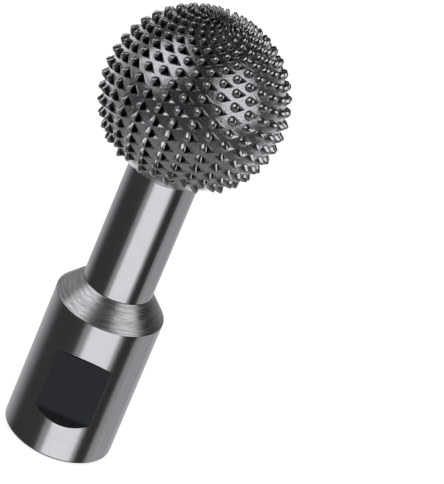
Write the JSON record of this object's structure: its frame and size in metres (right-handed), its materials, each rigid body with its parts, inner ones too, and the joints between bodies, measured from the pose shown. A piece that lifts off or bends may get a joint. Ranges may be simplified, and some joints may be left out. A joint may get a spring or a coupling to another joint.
{
  "type": "ball rasp",
  "caption": "Ball-shaped wood rasp for an angle grinder: a toothed steel ball on a ground neck, with a threaded drive collar and two wrench flats.",
  "frame": {"origin": "centre of the drive collar's end face, which seats on the grinder's spindle flange", "axes": "+Z along the axis of rotation, from the collar to the toothed ball; the wrench flats face -Y and +Y"},
  "size_m": [0.0334, 0.0334, 0.0879],
  "materials": {
    "head_steel": "hardened dark steel, polished ground with bright cut teeth",
    "neck_steel": "ground and polished gunmetal steel",
    "collar_steel": "polished gunmetal steel, with turning marks on the cone"
  },
  "bodies": {
    "root": {"rasp_head": "head_steel", "neck_rod": "neck_steel", "drive_collar": "collar_steel"}
  },
  "joints": []
}
